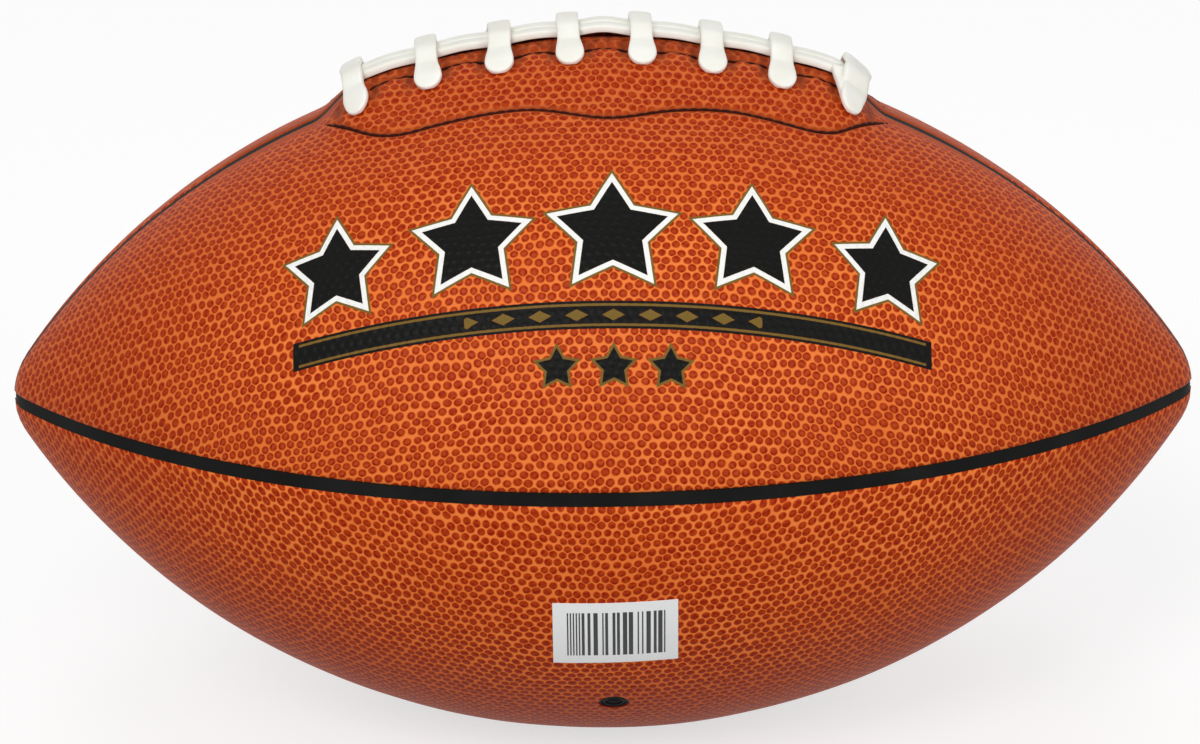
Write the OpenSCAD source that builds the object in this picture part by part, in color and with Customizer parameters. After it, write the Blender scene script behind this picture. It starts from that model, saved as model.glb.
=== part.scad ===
// American football: four composite panels round an inflated bladder, closed by a lace.
// X runs from tip to tip, the lacing is on top (+Z), and the origin is the ball's centre.

/* [Ball] */
// Length from tip to tip
ball_length = 284; // [278:1:292]
// Diameter round the middle, clear of the lacing
ball_d = 164; // [160:1:172]
// Radius of each rounded tip
tip_r = 16.5; // [14:0.5:20]

/* [Layers] */
// Thickness of a cover panel
panel_t = 2; // [1.6:0.1:2.4]
// Width of the channel between two panels
seam_w = 3.2; // [2.4:0.1:4]
// Depth of the seam strips below the panels
seam_recess = 0.4; // [0.2:0.1:0.8]
// Thickness of the lining bonded behind a panel
lining_t = 0.8; // [0.6:0.1:1]
// Thickness of the bladder's wall
bladder_t = 0.8; // [0.6:0.1:1.4]
// Glue line left between two layers
layer_gap = 0.2; // [0.1:0.05:0.3]
// How far a lining's edge stops short of the middle of the seam
lining_edge = 0.8; // [0.6:0.1:1.2]

/* [Lacing mound] */
// Height of the lacing area above the ball's own curve
mound_h = 6.4; // [6.2:0.1:7.4]
// Radius of its crest across the ball
mound_r = 36; // [34:1:40]
// Radius of the hollow that blends each side of it into the ball
blend_r = 90; // [70:5:110]
// Rounding along the top of its two ends
mound_end_r = 9; // [8:0.5:10]
// Radius of the hollow at the foot of its two ends
foot_r = 7; // [5:0.5:9]
// How far short of the end laces that rounding begins
shoulder_back = 3.2; // [2.4:0.1:3.6]

/* [Slit and stays] */
// Width of the slit under the lacing
slit_w = 4.8; // [4.6:0.1:5.4]
// How far the slit runs past the end laces
slit_over = 1.6; // [1.4:0.1:2]
// Thickness of the stays that the lace holes are punched through
stay_t = 1.2; // [0.8:0.1:1.4]
// Width of a stay, from the slit outwards
stay_w = 17; // [15.5:0.5:18]
// Length of a stay
stay_length = 124; // [123:0.5:124.5]
// Thickness of the tongue that keeps the lace off the bladder
tongue_t = 1.6; // [1:0.1:2]
// Width of the tongue
tongue_w = 26; // [20:1:28]
// Length of the tongue
tongue_length = 106; // [90:1:108]

/* [Lace] */
// Number of cross laces
lace_count = 8; // [6:1:9]
// Distance from the first cross lace to the last
lace_span = 117.8; // [112:0.2:119]
// Distance between the two rows of lace holes
hole_rows = 27; // [24:0.5:28]
// Diameter of a lace hole
hole_d = 4.8; // [4.6:0.1:5.2]
// Width of the lace where it crosses
lace_w = 5.3; // [4.6:0.1:6]
// Width of the lace where it spreads at a hole
foot_w = 6.6; // [5.6:0.1:7.2]
// Width of each of the two long strands
strand_w = 4.2; // [3.6:0.1:4.6]
// Thickness of the lace
lace_t = 2; // [1.6:0.1:2.1]
// Chamfer along the lace's edges
lace_edge = 0.5; // [0.3:0.05:0.7]
// Width of the lace gathered up in a hole
gather_w = 3.6; // [3:0.1:3.8]
// Thickness of the lace gathered up in a hole
gather_t = 2.2; // [2:0.1:2.4]
// Width of a strand tucked into the slit
tuck_w = 1.9; // [1.7:0.1:2]
// Thickness of a strand tucked into the slit
tuck_t = 2.6; // [2.2:0.1:2.8]
// Radius of the bend where a strand turns down into the slit
tuck_bend = 2.4; // [1.8:0.1:3]
// Gap between the lace and what it lies on
lace_gap = 0.2; // [0.15:0.05:0.3]

/* [Valve] */
// Angle of the valve below the side seam
valve_angle = 46.5; // [35:0.5:60]
// Place of the valve along the ball, from its middle
valve_x = 1.8; // [-10:0.1:10]
// Diameter of the valve's head
valve_d = 7; // [6:0.1:9]
// Depth of the valve's face below the cover
valve_recess = 0.3; // [0:0.1:0.6]
// Length of the valve, from its face inwards
valve_length = 17; // [14:0.5:22]
// Diameter of the valve's stem inside the bladder
stem_d = 8.4; // [7.8:0.1:10]
// Diameter of the plug that seals the valve
plug_d = 4.2; // [3.6:0.1:5]
// Length of the plug
plug_length = 13; // [10:0.5:13.5]
// Depth of the plug's face below the valve's face
plug_recess = 0.4; // [0.2:0.1:0.8]
// Diameter of the needle's way through the plug
needle_d = 2; // [1.8:0.1:2.4]
// Diameter of the funnel that leads the needle in
funnel_d = 3.2; // [2.6:0.1:3.4]
// Depth of the funnel
funnel_depth = 1.2; // [0.8:0.1:2]
// Width of the shallow ring groove in the valve's face
ring_w = 0.5; // [0.3:0.1:0.6]
// Depth of that groove
ring_depth = 0.3; // [0.2:0.1:0.6]
// Diameter of the patch that bonds the valve to the bladder
patch_d = 30; // [22:1:40]
// Thickness of that patch
patch_t = 1.4; // [1:0.1:2]
// Clearance round the valve's pieces
valve_fit = 0.1; // [0.05:0.05:0.2]

/* [Label] */
// Angle of the label below the side seam
label_angle = 26; // [20:1:29]
// Place of the label along the ball, from its middle
label_x = 2.3; // [-10:0.1:10]
// Length of the label along the ball
label_length = 29; // [20:1:40]
// Height of the label
label_height = 15; // [10:0.5:18]
// Thickness of the label
label_t = 0.2; // [0.15:0.05:0.3]
// Glue under the label
label_gap = 0.05; // [0.05:0.05:0.1]

/* [Hidden] */
$fn = 96;

leather = "#a8431c";
black_rubber = "#15171a";
lining_cloth = "#d8cfb8";
butyl = "#3a3a3c";
lace_white = "#ecebe0";
label_white = "#f1f4f2";

// How far a cutting solid runs past what it cuts
overrun = 1;

// The ball's long side is one arc, tangent to a sphere at each tip
ball_r = ball_d / 2;
tip_x = ball_length / 2 - tip_r;
side_r = (tip_x * tip_x + ball_r * ball_r - tip_r * tip_r) / (2 * (ball_r - tip_r));
reach = ball_length;

// Depths of the layers under the cover's face
lining_top = panel_t + layer_gap;
lining_under = lining_top + lining_t;
bladder_top = lining_under + layer_gap;
bladder_under = bladder_top + bladder_t;
patch_top = bladder_under + layer_gap;
patch_under = patch_top + patch_t;

// How far a blend dips under the two faces it joins, so that they cross cleanly
blend_dip = 0.1;

// The mound is a barrel with the ball's own long arc, on an axis above the ball's
mound_z = ball_r + mound_h - mound_r;
shoulder_x = lace_span / 2 - shoulder_back;
shoulder_y = sqrt(pow(side_r - mound_end_r, 2) - pow(shoulder_x, 2)) - side_r + mound_r;

// A blend is an hourglass turned about an axis along X. All three share the long arc, so
// that axis keeps its place from end to end.
blend_to_ball = ball_r + blend_r;
blend_to_mound = mound_r + blend_r;
blend_angle = acos((pow(blend_to_ball, 2) + pow(mound_z, 2) - pow(blend_to_mound, 2))
    / (2 * blend_to_ball * mound_z));
blend_y = blend_to_ball * sin(blend_angle);
blend_z = blend_to_ball * cos(blend_angle);

// The hollow at each end of the mound is an hourglass about an axis along Y, which touches
// both the ball's long arc and the rounding of the mound's end
arc_to_shoulder = [shoulder_x, mound_z + shoulder_y - ball_r + side_r];
arc_to_foot = side_r + foot_r;
foot_angle = atan2(arc_to_shoulder[0], arc_to_shoulder[1])
    + acos((pow(norm(arc_to_shoulder), 2) + pow(arc_to_foot, 2) - pow(mound_end_r + foot_r, 2))
    / (2 * norm(arc_to_shoulder) * arc_to_foot));
foot_x = arc_to_foot * sin(foot_angle);
foot_to_arc = arc_to_foot * cos(foot_angle);
foot_z = ball_r - side_r + foot_to_arc;
// Rise from the middle of the rounding to the middle of the hollow, as a share of their distance
foot_rise_share = (foot_z - mound_z - shoulder_y) / (mound_end_r + foot_r);
foot_waist_r = (side_r * foot_to_arc / (side_r + foot_r) + ball_r - side_r) * (side_r + foot_r) / foot_to_arc;

// Depths under the mound's face
stay_top = bladder_top;
stay_under = stay_top + stay_t;
lace_depth = stay_under + lace_gap + lace_t / 2;
tongue_top = stay_under + 2 * lace_gap + lace_t;
tongue_under = tongue_top + tongue_t;

slit_half = lace_span / 2 + slit_over;
lace_pitch = lace_span / (lace_count - 1);

// Heights of the lace's middle over the mound: on the cover, and over the long strands
lift_low = lace_gap + lace_t / 2;
lift_high = lift_low + lace_gap + lace_t;
strand_y = (strand_w + lace_gap) / 2;
tuck_y = (tuck_w + lace_gap) / 2;
tuck_x = slit_half - tuck_t / 2 - lace_gap;

// A cross lace from its hole to the top of its arch: share of the hole's angle, share of
// the climb from lift_low to lift_high, and how far it has spread from lace_w to foot_w
arch_shares = [
    [0.92, 0, 0.8],
    [0.8, 0.1, 1],
    [0.62, 0.55, 0.5],
    [0.42, 0.95, 0.1],
    [0.2, 1, 0],
];
// Share of lift_low and of the hole's angle where the lace comes over the edge of its hole
lip_lift_share = 0.45;
lip_angle_share = 0.985;
strand_steps = 14;
under_steps = 6;
bend_steps = 3;

// Profile of a barrel of revolution: a long arc between two rounded ends. X is the radius
// and Y the place along the axis. Every point lies depth under the barrel's own face.
module barrel_profile(depth, arc_r, mid_r, end_x, end_y, end_r) {
    join = end_x * (arc_r - depth) / (arc_r - end_r);
    end = end_x + end_r - depth;
    intersection() {
        translate([mid_r - arc_r, 0]) circle(r = arc_r - depth);
        translate([0, -join]) square([mid_r - depth + overrun, 2 * join]);
    }
    for (side = [-1, 1]) scale([1, side]) {
        intersection() {
            translate([end_y, end_x]) circle(r = end_r - depth);
            translate([end_y, join]) square(end_r - depth + overrun);
        }
        if (end_y > 0) translate([0, join]) square([end_y, end - join]);
    }
}

module ball(depth) {
    rotate([0, 90, 0]) rotate_extrude() barrel_profile(depth, side_r, ball_r, tip_x, 0, tip_r);
}

// The mound's long curve carried on past its ends
module crest(depth) {
    translate([0, 0, mound_z]) rotate([0, 90, 0]) rotate_extrude() intersection() {
        translate([mound_r - side_r, 0]) circle(r = side_r - depth);
        translate([0, -foot_x]) square([mound_r - depth + overrun, 2 * foot_x]);
    }
}

// A body of revolution drawn in at the middle by an arc
module hourglass(neck_r, arc_r, half_length) {
    rotate_extrude() difference() {
        translate([0, -half_length]) square([neck_r + arc_r, 2 * half_length]);
        translate([neck_r + arc_r, 0]) circle(r = arc_r);
    }
}

// blends lists the sides on which it runs out into the ball
module mound(depth, blends) {
    translate([0, 0, mound_z]) rotate([0, 90, 0]) rotate_extrude()
        barrel_profile(depth, side_r, mound_r, shoulder_x, shoulder_y, mound_end_r);
    difference() {
        union() {
            translate([-foot_x, 0, mound_z]) rotate([0, 90, 0])
                cylinder(r = shoulder_y + (mound_end_r - depth) * foot_rise_share, h = 2 * foot_x);
            for (side = blends) scale([1, side, 1]) rotate([90, 0, 90]) translate([0, 0, -foot_x])
                linear_extrude(2 * foot_x) polygon([[0, 0], [blend_y, blend_z], [0, mound_z]]);
        }
        for (side = blends) translate([0, side * blend_y, blend_z]) rotate([0, 90, 0])
            hourglass(blend_r + depth + blend_dip, side_r - depth, foot_x + overrun);
        for (side = [-1, 1]) translate([side * foot_x, 0, foot_z]) rotate([90, 0, 0])
            hourglass(foot_r + depth + blend_dip, foot_waist_r - depth, blend_y);
    }
}

// Everything on one side of both seam planes: front or back, top or bottom
module quarter(y_side, z_side, edge) {
    scale([1, y_side, z_side]) translate([-reach, edge, edge]) cube([2 * reach, reach, reach]);
}

// Cuts the opening under the lacing
module slit(width) {
    translate([-slit_half, -width / 2, 0]) cube([2 * slit_half, width, reach]);
}

function lace_x(i) = (i - (lace_count - 1) / 2) * lace_pitch;

// Radius of the mound's own section at x
function mound_radius(x) =
    abs(x) < shoulder_x * side_r / (side_r - mound_end_r)
        ? sqrt(side_r * side_r - x * x) - side_r + mound_r
        : shoulder_y + sqrt(mound_end_r * mound_end_r - pow(abs(x) - shoulder_x, 2));

// Its slope along X
function mound_slope(x) =
    abs(x) < shoulder_x * side_r / (side_r - mound_end_r)
        ? -x / sqrt(side_r * side_r - x * x)
        : -sign(x) * (abs(x) - shoulder_x) / sqrt(mound_end_r * mound_end_r - pow(abs(x) - shoulder_x, 2));

function hole_angle(x) = asin(hole_rows / 2 / mound_radius(x));

// The front row of lace holes, square to the mound's face
module lace_holes() {
    for (i = [0 : lace_count - 1]) {
        x = lace_x(i);
        translate([x, 0, mound_z]) rotate([hole_angle(x), 0, 0])
            translate([0, 0, mound_radius(x) - tongue_under])
                cylinder(d = hole_d, h = tongue_under + mound_h);
    }
}

module at_valve() {
    cover_r = sqrt(side_r * side_r - valve_x * valve_x) - side_r + ball_r;
    translate([valve_x, 0, 0]) rotate([90 + valve_angle, 0, 0]) translate([0, 0, cover_r]) children();
}

module valve_hole() {
    at_valve() translate([0, 0, -ball_r / 2]) cylinder(d = valve_d + 2 * valve_fit, h = ball_r);
}

// What children cut out of one layer of the ball
module layer(top, under) {
    intersection() {
        difference() {
            ball(top);
            ball(under);
        }
        children();
    }
}

// The same with the mound on top
module raised_layer(top, under, blends) {
    intersection() {
        difference() {
            union() {
                ball(top);
                mound(top, blends);
            }
            union() {
                ball(under);
                mound(under, blends);
            }
        }
        children();
    }
}

// One top quarter of a layer, open at the slit and at the lace holes. The back one is the
// front one mirrored.
module top_layer(y_side, edge, top, under) {
    scale([1, -y_side, 1]) difference() {
        raised_layer(top, under, [-1]) quarter(-1, 1, edge);
        slit(slit_w);
        lace_holes();
    }
}

module panel_top(y_side) {
    color(leather) top_layer(y_side, seam_w / 2, 0, panel_t);
}

module panel_bottom_front() {
    color(leather) difference() {
        layer(0, panel_t) quarter(-1, -1, seam_w / 2);
        valve_hole();
    }
}

module panel_bottom_back() {
    color(leather) layer(0, panel_t) quarter(1, -1, seam_w / 2);
}

module lining_top(y_side) {
    color(lining_cloth) top_layer(y_side, lining_edge, lining_top, lining_under);
}

module lining_bottom_front() {
    color(lining_cloth) difference() {
        layer(lining_top, lining_under) quarter(-1, -1, lining_edge);
        valve_hole();
    }
}

module lining_bottom_back() {
    color(lining_cloth) layer(lining_top, lining_under) quarter(1, -1, lining_edge);
}

// The rubber strips fill the channels, a little below the cover's face
module seam_strip_side(y_side) {
    color(black_rubber) layer(seam_recess, panel_t) scale([1, y_side, 1])
        translate([-reach, 0, -seam_w / 2]) cube([2 * reach, reach, seam_w]);
}

module seam_strip_bottom() {
    color(black_rubber) layer(seam_recess, panel_t) translate([-reach, -seam_w / 2, -reach])
        cube([2 * reach, seam_w, reach - seam_w / 2]);
}

// It climbs the end of the mound and stops at the slit
module seam_strip_top(x_side) {
    color(black_rubber) raised_layer(seam_recess, panel_t, []) scale([x_side, 1, 1])
        translate([slit_half, -seam_w / 2, seam_w / 2]) cube([reach, seam_w, reach]);
}

// A strip under the cover that carries one row of lace holes
module lace_stay(y_side) {
    color(lining_cloth) scale([1, -y_side, 1]) difference() {
        intersection() {
            difference() {
                mound(stay_top, [-1]);
                mound(stay_under, [-1]);
                ball(bladder_top - layer_gap);
            }
            translate([-stay_length / 2, -slit_w / 2 - stay_w, 0]) cube([stay_length, stay_w, reach]);
        }
        lace_holes();
    }
}

// The flap between the lace and the bladder
module lace_tongue() {
    color(lining_cloth) intersection() {
        difference() {
            crest(tongue_top);
            crest(tongue_under);
            ball(bladder_top - layer_gap);
        }
        translate([-tongue_length / 2, -tongue_w / 2, 0])
            cube([tongue_length, tongue_w, reach]);
    }
}

// The bladder is blown up against the lining all round
module bladder() {
    color(butyl) difference() {
        ball(bladder_top);
        ball(bladder_under);
        valve_hole();
    }
}

module valve_patch() {
    color(butyl) difference() {
        layer(patch_top, patch_under) at_valve() translate([0, 0, -ball_r / 2])
            cylinder(d = patch_d, h = ball_r);
        valve_hole();
    }
}

// The head fills the hole in the cover, and the wider stem holds the plug
module valve_body() {
    stem_top = -patch_under - layer_gap - overrun;
    color(black_rubber) at_valve() difference() {
        union() {
            translate([0, 0, stem_top]) cylinder(d = valve_d, h = -valve_recess - stem_top);
            translate([0, 0, -valve_length]) cylinder(d = stem_d, h = valve_length + stem_top);
        }
        translate([0, 0, -plug_length - plug_recess - valve_recess])
            cylinder(d = plug_d + 2 * valve_fit, h = plug_length + plug_recess + overrun);
        translate([0, 0, -valve_length - overrun]) cylinder(d = needle_d, h = valve_length);
        translate([0, 0, -valve_recess - ring_depth]) difference() {
            cylinder(d = (valve_d + plug_d) / 2 + ring_w, h = ring_depth + overrun);
            cylinder(d = (valve_d + plug_d) / 2 - ring_w, h = ring_depth + overrun);
        }
    }
}

// The soft plug that the needle is pushed through
module valve_plug() {
    color(butyl) at_valve() translate([0, 0, -valve_recess - plug_recess - plug_length]) difference() {
        cylinder(d = plug_d, h = plug_length);
        translate([0, 0, -overrun]) cylinder(d = needle_d, h = plug_length + 2 * overrun);
        translate([0, 0, plug_length - funnel_depth])
            cylinder(d1 = needle_d, d2 = funnel_d, h = funnel_depth);
    }
}

module label() {
    color(label_white) layer(-label_gap - label_t, -label_gap) rotate([90 + label_angle, 0, 0])
        translate([label_x - label_length / 2, -label_height / 2, 0])
            cube([label_length, label_height, ball_d]);
}

function mix(a, b, share) = a + (b - a) * share;
function unit(v) = v / norm(v);

// A point over the mound, at an angle from the top towards the back
function over_mound(x, angle, lift) =
    [x, sin(angle) * (mound_radius(x) + lift), mound_z + cos(angle) * (mound_radius(x) + lift)];

// The same, with the lift taken square to a sloping place on the mound
function square_over_mound(x, angle, lift) = over_mound(x, angle, lift * norm([1, mound_slope(x)]));

// The way up the slope, for the width of a lace that lies across the ball
function up_slope(x, angle) = [1, sin(angle) * mound_slope(x), cos(angle) * mound_slope(x)];

// One section of the lace: its middle, the way its width points, its width and thickness
function in_hole(x, side, lift) =
    [over_mound(x, side * hole_angle(x), lift), [1, 0, 0], gather_w, gather_t];

// Half of a cross lace, from inside its hole to just short of the top
function half_arch(x, side) = concat(
    [for (lift = [-lace_depth * norm([1, mound_slope(x)]), -stay_under, -panel_t]) in_hole(x, side, lift)],
    [for (angle = side * hole_angle(x) * lip_angle_share)
        [square_over_mound(x, angle, lift_low * lip_lift_share),
            up_slope(x, angle), mix(gather_w, foot_w, lip_lift_share), gather_t]],
    [for (s = arch_shares) let (angle = side * hole_angle(x) * s[0])
        [square_over_mound(x, angle, mix(lift_low, lift_high, s[1])),
            up_slope(x, angle), mix(lace_w, foot_w, s[2]), lace_t]]
);

function reversed(list) = [for (i = [len(list) - 1 : -1 : 0]) list[i]];

function cross_lace(i) = concat(
    half_arch(lace_x(i), -1),
    [[square_over_mound(lace_x(i), 0, lift_high), up_slope(lace_x(i), 0), lace_w, lace_t]],
    reversed(half_arch(lace_x(i), 1))
);

// The run inside, from the back hole of one cross lace to the front hole of the next
function under_run(i) = [
    for (k = [1 : under_steps - 1])
        let (s = k / under_steps, x = mix(lace_x(i), lace_x(i + 1), s),
            angle = mix(hole_angle(lace_x(i)), -hole_angle(lace_x(i + 1)), s))
        [square_over_mound(x, angle, -lace_depth), up_slope(x, angle), gather_w, lace_t]
];

function strand_section(x, y, lift, across, width, thick) =
    [over_mound(x, asin(y / (mound_radius(x) + lift)), lift), [0, across, 0], width, thick];

// A long strand on top, from x_from to the other end
function strand(x_side, y_side, across) = [
    for (k = [0 : strand_steps])
        let (x = x_side * (tuck_x - 2 * tuck_bend) * (1 - 2 * k / strand_steps))
        strand_section(x, y_side * strand_y, lift_low, across, strand_w, lace_t)
];

// Its bend down into the slit, from the top to the depth of the runs inside
function tuck(x_side, y_side, across) = concat(
    [for (k = [1 : bend_steps])
        let (a = 90 * k / bend_steps, s = k / bend_steps)
        strand_section(x_side * (tuck_x - tuck_bend + tuck_bend * sin(a)),
            y_side * mix(strand_y, tuck_y, s), lift_low - tuck_bend + tuck_bend * cos(a),
            across, mix(strand_w, tuck_w, s), mix(lace_t, tuck_t, s))],
    [strand_section(x_side * tuck_x, y_side * tuck_y, -stay_under, across, tuck_w, tuck_t)]
);

// The short run inside that joins a tucked strand to the nearest lace hole, twisting as it goes
function end_run(x_side, y_side) = [
    for (k = [0 : under_steps - 1])
        let (s = k / under_steps, x = mix(x_side * tuck_x, x_side * lace_span / 2, s),
            from = asin(tuck_y / mound_radius(x)))
        [square_over_mound(x, y_side * mix(from, hole_angle(x), s), -lace_depth),
            [sin(90 * s), 0, -cos(90 * s)], mix(tuck_w, gather_w, s), mix(tuck_t, lace_t, s)]
];

// The whole lace in one length: a strand, the eight crossings, and the second strand
lace_route = concat(
    reversed(tuck(1, -1, 1)),
    strand(1, -1, 1),
    tuck(-1, -1, 1),
    end_run(-1, -1),
    [for (i = [0 : lace_count - 2]) each concat(cross_lace(i), under_run(i))],
    cross_lace(lace_count - 1),
    reversed(end_run(1, 1)),
    reversed(tuck(1, 1, -1)),
    strand(1, 1, -1),
    tuck(-1, 1, -1)
);

function direction(i) =
    unit(lace_route[min(i + 1, len(lace_route) - 1)][0] - lace_route[max(i - 1, 0)][0]);

// The eight corners of a section: a flat strip with chamfered edges
function section_corners(i) =
    let (s = lace_route[i], along = direction(i), across = unit(s[1] - (s[1] * along) * along),
        up = cross(along, across), w = s[2] / 2, t = s[3] / 2, e = lace_edge)
    [for (c = [[w, e - t], [w, t - e], [w - e, t], [e - w, t], [-w, t - e], [-w, e - t], [e - w, -t], [w - e, -t]])
        s[0] + across * c[0] + up * c[1]];

module lace() {
    sides = 8;
    last = len(lace_route) - 1;
    faces = concat(
        [[for (k = [0 : sides - 1]) k]],
        [for (i = [0 : last - 1], k = [0 : sides - 1])
            let (a = i * sides + k, b = i * sides + (k + 1) % sides)
            each [[a, b + sides, b], [a, a + sides, b + sides]]],
        [[for (k = [sides - 1 : -1 : 0]) last * sides + k]]
    );
    color(lace_white) polyhedron([for (i = [0 : last]) each section_corners(i)], faces);
}

panel_top(-1);  // panel_top_front
panel_top(1);  // panel_top_back
panel_bottom_front();
panel_bottom_back();
seam_strip_side(-1);  // seam_strip_front
seam_strip_side(1);  // seam_strip_back
seam_strip_bottom();
seam_strip_top(-1);  // seam_strip_top_left
seam_strip_top(1);  // seam_strip_top_right
lining_top(-1);  // lining_top_front
lining_top(1);  // lining_top_back
lining_bottom_front();
lining_bottom_back();
lace_stay(-1);  // lace_stay_front
lace_stay(1);  // lace_stay_back
lace_tongue();
lace();
bladder();
valve_patch();
valve_body();
valve_plug();
label();
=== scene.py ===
"""American football: pebbled composite panels, black seam strips, a raised white lacing,
a needle valve and a small label."""
from math import acos, asin, atan2, cos, exp, hypot, pi, radians, sin, sqrt
from random import Random

import bpy
from mathutils import Matrix, Vector, noise


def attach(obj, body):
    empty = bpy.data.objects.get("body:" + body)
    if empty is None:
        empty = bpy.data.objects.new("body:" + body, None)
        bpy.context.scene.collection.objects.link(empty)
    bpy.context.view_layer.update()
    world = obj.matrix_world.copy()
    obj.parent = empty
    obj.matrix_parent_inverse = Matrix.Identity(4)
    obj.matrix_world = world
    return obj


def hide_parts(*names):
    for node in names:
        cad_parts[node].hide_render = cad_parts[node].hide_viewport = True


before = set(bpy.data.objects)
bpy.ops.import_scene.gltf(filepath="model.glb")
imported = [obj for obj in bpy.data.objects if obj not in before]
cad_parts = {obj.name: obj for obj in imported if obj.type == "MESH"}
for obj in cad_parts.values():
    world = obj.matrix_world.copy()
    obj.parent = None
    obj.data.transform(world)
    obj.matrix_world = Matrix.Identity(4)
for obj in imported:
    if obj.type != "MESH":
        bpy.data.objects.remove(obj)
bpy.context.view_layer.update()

# Sizes are in millimetres, as in the part's source, and become metres where a vertex is placed
MM = 0.001

BALL_LENGTH = 284
BALL_R = 82
TIP_R = 16.5
PANEL_T = 2
SEAM_HALF = 1.6
SEAM_RECESS = 0.4
MOUND_H = 6.4
MOUND_R = 36
BLEND_R = 90
LACE_COUNT = 8
LACE_SPAN = 117.8
LACE_PITCH = LACE_SPAN / (LACE_COUNT - 1)
HOLE_Y = 13.5
HOLE_D = 4.8
BACK_HOLE_SHIFT = 0.7
SLIT_HALF_WIDTH = 2.4
SLIT_HALF = 60.5
STAY_DEPTH = 4.4
LACE_T = 2
LACE_GAP = 0.2
STRAND_W = 4.2
VALVE_ANGLE = radians(46.5)
VALVE_X = 1.8
VALVE_D = 7
VALVE_GAP = 0.1
LABEL_ANGLE = radians(25.8)
LABEL_X = 2.3
LABEL_LENGTH = 29
LABEL_HEIGHT = 19.7
LABEL_T = 0.2
LABEL_GAP = 0.05
LABEL_TILT = 0.013

# The lace draws the soft cover in round its holes
COVER_HOLE_Y = HOLE_Y - 1.1
COVER_HOLE_D = HOLE_D - 0.8

ALONG_BALL = Vector((1, 0, 0))

# Where each cross lace lies along the ball, at its top and at its front foot
TOPS = (-59.2, -41.3, -23.6, -7.7, 9.7, 26.4, 42.9, 61.4)
FEET = (-57.4, -40.4, -23.6, -7.0, 10.0, 26.5, 42.8, 59.2)

# The long side of the ball is one arc, tangent to a sphere at each tip
TIP_X = BALL_LENGTH / 2 - TIP_R
SIDE_R = (TIP_X**2 + BALL_R**2 - TIP_R**2) / (2 * (BALL_R - TIP_R))
ARC_END_X = TIP_X * SIDE_R / (SIDE_R - TIP_R)
ARC_END_ANGLE = asin(ARC_END_X / SIDE_R)

# The mound's crest turns about an axis above the ball's, and a hollow blends it into the ball
CREST_Z = BALL_R + MOUND_H - MOUND_R
BALL_TO_BLEND = BALL_R + BLEND_R
CREST_TO_BLEND = MOUND_R + BLEND_R
BLEND_ANGLE = acos(
    (BALL_TO_BLEND**2 + CREST_Z**2 - CREST_TO_BLEND**2) / (2 * BALL_TO_BLEND * CREST_Z)
)
BLEND_Y = BALL_TO_BLEND * sin(BLEND_ANGLE)
BLEND_Z = BALL_TO_BLEND * cos(BLEND_ANGLE)
MOUND_END_FROM = 56.2
MOUND_END_TO = 68.4

# The mound's height falls by this share from its middle outwards
MOUND_FALL_SHARE = 0.09
MOUND_FALL_FROM = 8
MOUND_FALL_TO = 26


def sag(x):
    """How far the long arc has fallen from its middle."""
    return SIDE_R - sqrt(SIDE_R**2 - x * x)


def smooth(start, end, value):
    share = min(max((value - start) / (end - start), 0), 1)
    return share * share * (3 - 2 * share)


def bump(value, width):
    return exp(-((value / width) ** 2))


def ball_radius(x):
    x = abs(x)
    if x <= ARC_END_X:
        return BALL_R - sag(x)
    return sqrt(max(TIP_R**2 - (x - TIP_X) ** 2, 0))


def place_along(u):
    """The x of a point that lies u along the cover from the middle."""
    arc = SIDE_R * ARC_END_ANGLE
    if abs(u) <= arc:
        return SIDE_R * sin(u / SIDE_R)
    x = TIP_X + TIP_R * sin(ARC_END_ANGLE + (abs(u) - arc) / TIP_R)
    return x if u > 0 else -x


def cover_radius(x, angle):
    """Distance from the ball's axis to the cover, at an angle from the top, with the mound."""
    r = ball_radius(x)
    rise = 1 - smooth(MOUND_END_FROM, MOUND_END_TO, abs(x))
    rise *= 1 - MOUND_FALL_SHARE * smooth(MOUND_FALL_FROM, MOUND_FALL_TO, abs(x))
    if angle >= BLEND_ANGLE or rise == 0:
        return r
    crest_r = MOUND_R - sag(x)
    share = crest_r / CREST_TO_BLEND
    join = atan2(BLEND_Y * share, CREST_Z + (BLEND_Z - CREST_Z) * share)
    if angle < join:
        mound = CREST_Z * cos(angle) + sqrt(crest_r**2 - (CREST_Z * sin(angle)) ** 2)
    else:
        off = angle - BLEND_ANGLE
        hollow = sqrt((BLEND_R + sag(x)) ** 2 - (BALL_TO_BLEND * sin(off)) ** 2)
        mound = BALL_TO_BLEND * cos(off) - hollow
    return r + (mound - r) * rise


SLOPE_REACH = 2.5


def slope(x):
    """How steeply the mound's crest rises along X, over the width of a lace."""
    rise = cover_radius(x + SLOPE_REACH, 0) - cover_radius(x - SLOPE_REACH, 0)
    return rise / (2 * SLOPE_REACH)


def outwards_at(x, y):
    """The way straight out of the mound's face."""
    r = MOUND_R - sag(x)
    return Vector((0, y / r, sqrt(1 - (y / r) ** 2)))


def over_mound(x, y, lift):
    """A point over the mound, lift away from its face."""
    out = outwards_at(x, y)
    face = Vector((0, 0, CREST_Z)) + out * (MOUND_R - sag(x))
    face *= cover_radius(x, atan2(abs(face.y), face.z)) / face.length
    face += out * lift
    face.x = x
    return face


# The stitch lines of the lacing, as distances from the top seam. Their middle is a little to
# the right of the ball's.
STITCH_MIDDLE = 1.7
STITCH_REACH = 66.3


def outer_line(x):
    """The long line at the foot of the mound. It bulges in the middle, runs in at both ends,
    and lies a little nearer to the laces at the right."""
    x -= STITCH_MIDDLE
    bulge = 4.4 * bump(x, 13.5)
    ends = 16 * (max(abs(x) - 44, 0) / 22.5) ** 2.2
    right = 1.1 * smooth(14, 32, x) + 2.7 * smooth(52, 66, x)
    return 25.9 + bulge - ends - right


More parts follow.
